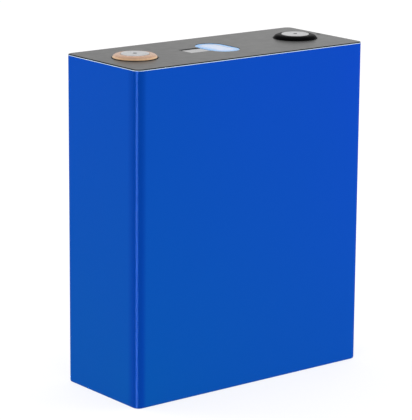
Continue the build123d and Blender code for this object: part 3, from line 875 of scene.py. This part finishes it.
def vent_film(material):
    """Film over the vent: a flat glued rim and a middle that bulges slightly. Its points' rim
    value runs from 1 on the glued rim to 0 in the middle."""
    half_x = (VENT_HIGH.x - VENT_LOW.x) / 2
    straight = (VENT_HIGH.y - VENT_LOW.y) / 2 - half_x
    base = VENT_LOW.z + VENT_GAP
    rows = [stadium(half_x, straight, base)]
    rims = [1.0]
    for i in range(VENT_RINGS + 1):
        radius = half_x * (1 - i / VENT_RINGS) ** VENT_CROWDING
        depth = half_x - radius
        rise = clamp((depth - VENT_GLUED) / (half_x - VENT_GLUED))
        height = VENT_DOME * (1 - (1 - rise) ** VENT_SWELL)
        rows.append(stadium(radius, straight, base + VENT_FILM + height))
        rims.append(1.0 - clamp((depth - VENT_GLUED * 0.5) / (VENT_GLUED * 1.2)))
    bm = bmesh.new()
    rim_layer = bm.verts.layers.float.new("rim")
    made = add_grid(bm, rows, closed=True)
    for row, rim in zip(made, rims):
        for vert in row:
            vert[rim_layer] = rim
    bmesh.ops.contextual_create(bm, geom=made[0])
    bmesh.ops.remove_doubles(bm, verts=bm.verts, dist=MERGE)
    bmesh.ops.recalc_face_normals(bm, faces=bm.faces)
    piece = finish_mesh("vent_film_domed", bm, material)
    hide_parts("vent_film")


def window_edge_shade(material):
    """Near-black strip on the lid under the back edge of the sheet's window, with an uneven front:
    painted shade under that edge."""
    low_x, high_x = WINDOW_X
    rise = SHEET_TOP - LID_TOP
    count = round((high_x - low_x) / WINDOW_STEP)
    rows = []
    profile = ((0.0, rise - WINDOW_SINK), (0.30, rise * 0.45), (0.70, rise * 0.18), (1.0, 0.01))
    for reach, height in profile:
        row = []
        for i in range(count + 1):
            x = low_x + (high_x - low_x) * i / count
            width = WINDOW_SHADE_WIDTH * (1 + sum(part * math.sin(x * pace) for part, pace in WINDOW_WAVES))
            row.append((x, WINDOW_BACK - reach * width, LID_TOP + height))
        rows.append(row)
    bm = bmesh.new()
    add_grid(bm, rows)
    face_outwards(bm, lambda face: face.normal.z)
    finish_mesh("window_edge_shade", bm, material, sharp=BEAD_ANGLE)


def locating_plug(material):
    """Dark dished plug in the sheet's locating hole."""
    radius = LOCATING_HOLE_RADIUS - PLUG_GAP
    top = SHEET_TOP - PLUG_SINK
    dished = SHEET_TOP - PLUG_DISH
    corners = [
        (0, LID_TOP, 0),
        (radius, LID_TOP, 0),
        (radius, top, PLUG_EDGE),
        (radius * PLUG_FLOOR, dished, PLUG_FILLET),
        (0, dished, 0),
    ]
    bm = lathe(rounded_path(corners))
    finish_mesh("locating_plug", bm, material, location=(*LOCATING_HOLE_AT, 0))


def rim_run(profile, scallop):
    """Rows of points round the can's rim, for a profile of (reach out, rise above the lid)."""
    radius = CORNER_RADIUS - (HALF_WIDTH - CAN_HIGH.x)
    runs = (2 * (CAN_HIGH.y - radius), 2 * (CAN_HIGH.x - radius))
    stations = []
    for side in range(8):
        length = math.pi / 2 * radius if side % 2 else runs[side // 2 % 2]
        count = round(length / BEAD_PITCH) * BEAD_STEPS
        stations.extend((side, i / count) for i in range(count))
    rows = []
    for reach, rise in profile:
        row = []
        for index, (side, share) in enumerate(stations):
            phase = index % BEAD_STEPS / BEAD_STEPS
            dip = scallop * (2 * phase - 1) ** 2
            spot = outline_point(CAN_HIGH.x, CAN_HIGH.y, radius, side, share)
            spot += outward(side, share) * (reach - dip)
            row.append((spot.x, spot.y, LID_TOP + rise))
        rows.append(row)
    return rows


def rim_weld(material):
    """Laser weld round the rim: a narrow band of fine overlapping scallops that leans back from the
    film's cut edge. Its bright bluish white is partly its own light metal, partly painted highlight."""
    lean = HALF_WIDTH - CAN_HIGH.x - WELD_GAP
    drop = LID_TOP - WRAP_TOP + WELD_TUCK
    profile = []
    for k in range(WELD_ROWS + 1):
        share = k / WELD_ROWS
        profile.append((lean * (1 - WELD_LEAN * share), -drop + (drop - WELD_TOP) * share))
    profile.append((WELD_GAP, -WELD_TOP))
    bm = bmesh.new()
    add_grid(bm, rim_run(profile, BEAD_SCALLOP), closed=True)
    bmesh.ops.recalc_face_normals(bm, faces=bm.faces)
    finish_mesh("rim_weld", bm, material, sharp=WELD_ANGLE)


def sheet_edge_shade(material):
    """Near-black strip round the rim, painted shade in the gap at the sheet's edge: it laps over the
    can's corner onto the weld and rises to just below the sheet's top."""
    edge = SHEET_HIGH.x - CAN_HIGH.x
    rise = SHEET_TOP - LID_TOP
    profile = [
        (0.02, -0.22),
        (0.11, -0.21),
        (0.10, -0.04),
        (0.02, 0.06),
        (-0.16, 0.15),
        (-0.34, 0.22),
        (edge + 0.04, rise - EDGE_SHADE_SINK),
        (edge - 0.01, rise - EDGE_SHADE_SINK),
    ]
    bm = bmesh.new()
    add_grid(bm, rim_run(profile, 0.0), closed=True)
    bmesh.ops.recalc_face_normals(bm, faces=bm.faces)
    finish_mesh("sheet_edge_shade", bm, material, sharp=BEAD_ANGLE)


# ---- Object ----------------------------------------------------------------------------------
def dress_cad_nodes(materials):
    """Give every CAD node its slot's material."""
    slots = {entry["node"]: entry["material_slot"] for entry in frame["record"]["subparts"]}
    for name, piece in frame["nodes"].items():
        piece.data.materials.clear()
        piece.data.materials.append(materials[slots[name]])


def build_object():
    """All visual pieces."""
    materials = make_materials()
    dress_cad_nodes(materials)
    insulation_wrap(materials["blue_film"])
    fold_gussets(materials["blue_film"])
    vent_film(materials["vent_film"])
    rim_weld(materials["rim_weld"])
    sheet_edge_shade(materials["near_black_fill"])
    window_edge_shade(materials["near_black_fill"])
    locating_plug(materials["near_black_fill"])
    for side, slot in (("positive", "copper_ring"), ("negative", "black_ring")):
        terminal_washer(side, materials["black_plastic"])
        terminal_ring(side, materials[slot])
        terminal_pad(side, materials)


# ---- Stage -----------------------------------------------------------------------------------
def floor():
    """Plain pale floor, wide enough to fill the view. Its own faint glow keeps it white beside
    the cell."""
    bm = bmesh.new()
    bmesh.ops.create_grid(bm, x_segments=8, y_segments=8, size=FLOOR_HALF)
    mesh = bpy.data.meshes.new("floor")
    bm.to_mesh(mesh)
    bm.free()
    piece = bpy.data.objects.new("floor", mesh)
    bpy.context.scene.collection.objects.link(piece)
    material, tree, shader = new_material("floor", Roughness=0.9, Specular_IOR_Level=0.1)
    cloud = remap(tree, noise(tree, 400, 2), 0.0, 1.0)
    feed(tree, shader.inputs["Base Color"], mix(tree, cloud, rgb(0.30, 0.30, 0.30), rgb(0.32, 0.32, 0.32)))
    shader.inputs["Emission Color"].default_value = rgb(1, 1, 1)
    shader.inputs["Emission Strength"].default_value = FLOOR_GLOW
    mesh.materials.append(material)
    piece.visible_glossy = False


def world():
    """Even white sky over a dark lower half, which only reflections reach past the floor. An
    upright strip of light in the lower half gives the near corner its sheen."""
    made = bpy.data.worlds.new("studio")
    bpy.context.scene.world = made
    made.use_nodes = True
    made.cycles.sampling_method = "NONE"
    tree = made.node_tree
    direction = node(tree, "ShaderNodeTexCoord").outputs["Generated"]
    height = node(tree, "ShaderNodeSeparateXYZ", {"Vector": direction}).outputs["Z"]
    towards = along(tree, direction, STRIP_AZIMUTH)
    outer, inner = (math.cos(STRIP_HALF * (1 + side * STRIP_SOFTNESS)) for side in (1, -1))
    strip = remap(tree, towards, 0.0, 1.0, outer, inner)
    for full, gone in STRIP_HEIGHTS:
        fade = remap(tree, height, 1.0, 0.0, full, gone)
        strip = node(tree, "ShaderNodeMath", {0: strip, 1: fade}, operation="MULTIPLY").outputs["Value"]
    lower = mix(tree, strip, LOWER_COLOUR, rgb(STRIP_LEVEL, STRIP_LEVEL, STRIP_LEVEL))
    share = remap(tree, height, 0.0, 1.0, *HORIZON)
    background = tree.nodes["Background"]
    feed(tree, background.inputs["Color"], mix(tree, share, lower, rgb(1.0, 1.0, 1.0)))
    background.inputs["Strength"].default_value = SKY_LEVEL


def level_direction(azimuth):
    """Level direction at an azimuth, in degrees from the camera's side and positive to its
    right."""
    turn = math.radians(azimuth) - CAMERA_YAW
    return Vector((math.sin(turn), -math.cos(turn), 0))


def along(tree, direction, azimuth):
    """How far a direction's level part points towards an azimuth: 1 when it points there."""
    level = node(tree, "ShaderNodeVectorMath", {0: direction, 1: (1, 1, 0)}, operation="MULTIPLY")
    level = node(tree, "ShaderNodeVectorMath", {0: level.outputs["Vector"]}, operation="NORMALIZE")
    inputs = {0: level.outputs["Vector"], 1: level_direction(azimuth)}
    return node(tree, "ShaderNodeVectorMath", inputs, operation="DOT_PRODUCT").outputs["Value"]


def softbox(name, azimuth):
    """Square area light aimed at the cell's middle, which shows only in diffuse light."""
    light = bpy.data.lights.new(name, "AREA")
    light.shape = "RECTANGLE"
    light.size = SIDE_LIGHT_SIZE
    light.size_y = SIDE_LIGHT_SIZE
    light.energy = SIDE_LIGHT_POWER
    piece = bpy.data.objects.new(name, light)
    bpy.context.scene.collection.objects.link(piece)
    lift = math.radians(SIDE_LIGHT_ELEVATION)
    away = level_direction(azimuth) * math.cos(lift) + Vector((0, 0, math.sin(lift)))
    target = Vector((0, 0, SHEET_TOP / 2 * MM))
    piece.location = target + away * LIGHT_DISTANCE
    piece.rotation_euler = away.to_track_quat("Z", "Y").to_euler()
    piece.visible_camera = False
    piece.visible_glossy = False


def lights():
    """Two broad lights, one on either side."""
    for name, azimuth in SIDE_LIGHTS:
        softbox(name, azimuth)


def camera():
    """Camera at the matched angle, with no shift and no depth of field."""
    data = bpy.data.cameras.new("camera")
    data.sensor_width = SENSOR_WIDTH
    data.lens = CAMERA_LENS
    data.clip_start, data.clip_end = CLIP_RANGE
    piece = bpy.data.objects.new("camera", data)
    bpy.context.scene.collection.objects.link(piece)
    yaw, pitch, roll = CAMERA_YAW, CAMERA_PITCH, CAMERA_ROLL
    forward = Vector((math.sin(yaw) * math.cos(pitch), math.cos(yaw) * math.cos(pitch), -math.sin(pitch)))
    right = Vector((math.cos(yaw), -math.sin(yaw), 0))
    up = right.cross(forward)
    across = right * math.cos(roll) + up * math.sin(roll)
    upward = up * math.cos(roll) - right * math.sin(roll)
    middle = Vector((0, 0, SHEET_TOP / 2 * MM))
    position = middle - forward * CAMERA_DISTANCE + across * CAMERA_OFFSET[0] + upward * CAMERA_OFFSET[1]
    axes = Matrix((across, upward, -forward)).transposed().to_4x4()
    piece.matrix_world = Matrix.Translation(position) @ axes
    bpy.context.scene.camera = piece


build_object()
floor()
world()
lights()
camera()
bpy.context.scene.view_settings.view_transform = "Standard"
